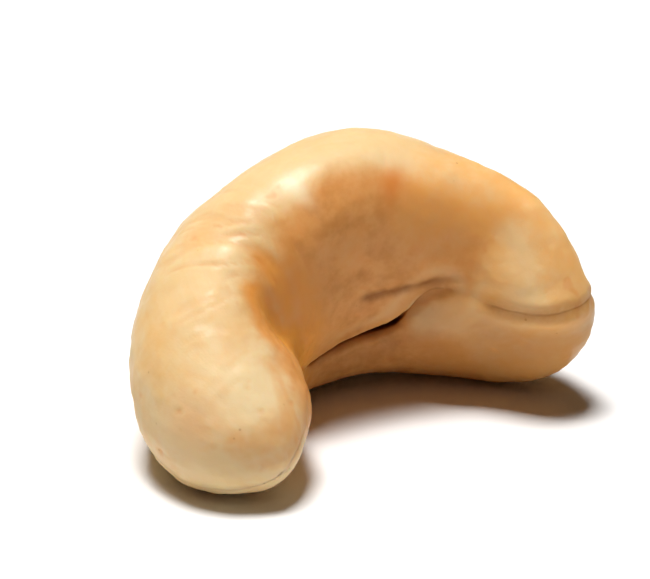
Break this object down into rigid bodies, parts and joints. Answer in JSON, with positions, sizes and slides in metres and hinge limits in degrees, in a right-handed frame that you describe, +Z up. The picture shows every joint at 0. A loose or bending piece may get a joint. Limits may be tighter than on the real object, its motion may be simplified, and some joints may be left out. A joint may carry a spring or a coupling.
{
  "type": "fried cashew nut",
  "caption": "Whole fried cashew kernel: a thick crescent with two blunt horns, a seam all round and an open crack of it in the crook.",
  "frame": {"origin": "centre of the bounding box on the plane that the nut rests on", "axes": "+X from the wide horn to the narrow horn, along the crescent's chord; +Y to the rounded back; +Z up, the nut lying on its flank"},
  "size_m": [0.0242, 0.0158, 0.0144],
  "materials": {
    "fried_seed": "pale golden fried seed, smooth and waxy with a thin film of oil, browner in the crook and along the seam"
  },
  "bodies": {
    "root": {"kernel": "fried_seed"}
  },
  "joints": []
}
